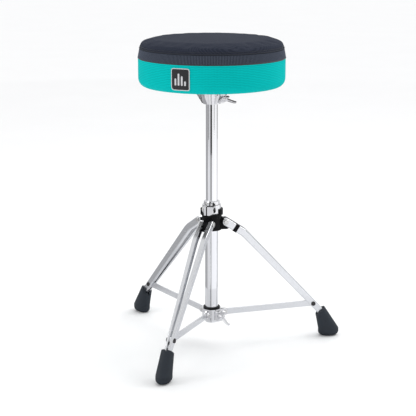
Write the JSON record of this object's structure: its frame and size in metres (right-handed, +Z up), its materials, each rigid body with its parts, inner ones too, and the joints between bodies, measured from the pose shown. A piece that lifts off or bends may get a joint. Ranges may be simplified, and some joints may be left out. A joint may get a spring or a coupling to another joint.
{
  "type": "drum throne",
  "caption": "Drum throne: a round padded seat on a telescopic post over a folding double-braced tripod with rubber feet.",
  "frame": {"origin": "on the floor, on the axis of the post", "axes": "+Z up along the post; leg 1 points along -Y, leg 2 and leg 3 follow at 120 degrees anticlockwise seen from above"},
  "size_m": [0.5048, 0.4467, 0.6727],
  "materials": {
    "top_fabric": "dark slate fabric with a small diamond weave",
    "band_fabric": "near-black ribbed fabric band",
    "side_fabric": "teal woven fabric with fine horizontal cords",
    "patch_fabric": "black woven patch with a pale border",
    "foam": "moulded polyurethane foam, cream",
    "plywood": "birch plywood",
    "dust_cloth": "black non-woven cloth",
    "chrome_tube": "polished chrome-plated steel tube",
    "chrome_cast": "chrome-plated zinc casting, softly rounded",
    "chrome_pressed": "chrome-plated pressed steel",
    "zinc_steel": "bright zinc-plated steel",
    "nylon": "black moulded nylon",
    "foot_rubber": "black moulded rubber"
  },
  "bodies": {
    "base": {"base_tube": "chrome_tube", "leg_hub": "nylon", "hub_pins": "zinc_steel", "post_bush": "nylon", "height_clamp": "chrome_cast", "height_clamp_nut": "zinc_steel"},
    "clamp_bolt": {"height_clamp_bolt": "zinc_steel"},
    "post": {"post_tube": "chrome_tube"},
    "lock_ring": {"memory_lock": "chrome_cast", "memory_lock_nut": "zinc_steel"},
    "lock_bolt": {"memory_lock_bolt": "zinc_steel"},
    "seat": {"seat_cover_top": "top_fabric", "seat_cover_band": "band_fabric", "seat_cover_side": "side_fabric", "seat_label": "patch_fabric", "foam_pad": "foam", "seat_board": "plywood", "dust_cover": "dust_cloth", "cover_staples": "zinc_steel", "tee_nuts": "zinc_steel", "seat_bracket": "chrome_cast", "bracket_bolts": "zinc_steel", "seat_clamp_nut": "zinc_steel"},
    "seat_screw": {"seat_wing_bolt": "chrome_cast"},
    "collar": {"lower_collar": "chrome_cast", "collar_bush": "nylon", "collar_pins": "zinc_steel", "collar_clamp_nut": "zinc_steel"},
    "collar_screw": {"collar_wing_bolt": "chrome_cast"},
    "leg_1": {"leg_1_bar_left": "chrome_pressed", "leg_1_bar_right": "chrome_pressed", "leg_1_foot": "foot_rubber", "leg_1_rivets": "zinc_steel", "leg_1_spacer": "nylon"},
    "strut_1": {"strut_1": "chrome_pressed"},
    "leg_2": {"leg_2_bar_left": "chrome_pressed", "leg_2_bar_right": "chrome_pressed", "leg_2_foot": "foot_rubber", "leg_2_rivets": "zinc_steel", "leg_2_spacer": "nylon", "leg_2_band": "nylon"},
    "strut_2": {"strut_2": "chrome_pressed"},
    "leg_3": {"leg_3_bar_left": "chrome_pressed", "leg_3_bar_right": "chrome_pressed", "leg_3_foot": "foot_rubber", "leg_3_rivets": "zinc_steel", "leg_3_spacer": "nylon"},
    "strut_3": {"strut_3": "chrome_pressed"}
  },
  "joints": [
    {"name": "leg_1_fold", "type": "hinge", "parent": "base", "child": "leg_1", "pos_m": [0, -0.0296, 0.2735], "axis": [1, 0, 0], "range_deg": [0, 40.5]},
    {"name": "leg_2_fold", "type": "hinge", "parent": "base", "child": "leg_2", "pos_m": [0.02563, 0.0148, 0.2735], "axis": [-0.5, 0.866, 0], "range_deg": [0, 40.5]},
    {"name": "leg_3_fold", "type": "hinge", "parent": "base", "child": "leg_3", "pos_m": [-0.02563, 0.0148, 0.2735], "axis": [-0.5, -0.866, 0], "range_deg": [0, 40.5]},
    {"name": "collar_slide", "type": "slide", "parent": "base", "child": "collar", "axis": [0, 0, 1], "range_m": [0, 0.1257]},
    {"name": "strut_1_turn", "type": "hinge", "parent": "collar", "child": "strut_1", "pos_m": [0, -0.03, 0.0666], "axis": [1, 0, 0], "range_deg": [0, 86.27]},
    {"name": "strut_2_turn", "type": "hinge", "parent": "collar", "child": "strut_2", "pos_m": [0.02598, 0.015, 0.0666], "axis": [-0.5, 0.866, 0], "range_deg": [0, 86.27]},
    {"name": "strut_3_turn", "type": "hinge", "parent": "collar", "child": "strut_3", "pos_m": [-0.02598, 0.015, 0.0666], "axis": [-0.5, -0.866, 0], "range_deg": [0, 86.27]},
    {"name": "post_height", "type": "slide", "parent": "base", "child": "post", "axis": [0, 0, 1], "range_m": [-0.14, 0.04]},
    {"name": "lock_height", "type": "slide", "parent": "base", "child": "lock_ring", "axis": [0, 0, 1], "range_m": [0, 0.06]},
    {"name": "seat_swivel", "type": "hinge", "parent": "post", "child": "seat", "pos_m": [0, 0, 0.56], "axis": [0, 0, 1], "continuous": true},
    {"name": "seat_screw_turn", "type": "hinge", "parent": "seat", "child": "seat_screw", "pos_m": [0, 0, 0.5437], "axis": [0.9703, -0.2419, 0], "continuous": true},
    {"name": "collar_screw_turn", "type": "hinge", "parent": "collar", "child": "collar_screw", "pos_m": [0, 0, 0.06475], "axis": [0.866, -0.5, 0], "continuous": true},
    {"name": "clamp_bolt_turn", "type": "hinge", "parent": "base", "child": "clamp_bolt", "pos_m": [0, -0.0252, 0.3055], "axis": [1, 0, 0], "continuous": true},
    {"name": "lock_bolt_turn", "type": "hinge", "parent": "lock_ring", "child": "lock_bolt", "pos_m": [0.00445, -0.02093, 0.3159], "axis": [0.9781, 0.2079, 0], "continuous": true}
  ],
  "couplings": [
    {"joint": "leg_2_fold", "follows": "leg_1_fold", "ratio": 1},
    {"joint": "leg_3_fold", "follows": "leg_1_fold", "ratio": 1},
    {"joint": "collar_slide", "follows": "leg_1_fold", "m_per_rad": 0.17757},
    {"joint": "strut_1_turn", "follows": "leg_1_fold", "ratio": 2.1278},
    {"joint": "strut_2_turn", "follows": "leg_1_fold", "ratio": 2.1278},
    {"joint": "strut_3_turn", "follows": "leg_1_fold", "ratio": 2.1278}
  ]
}
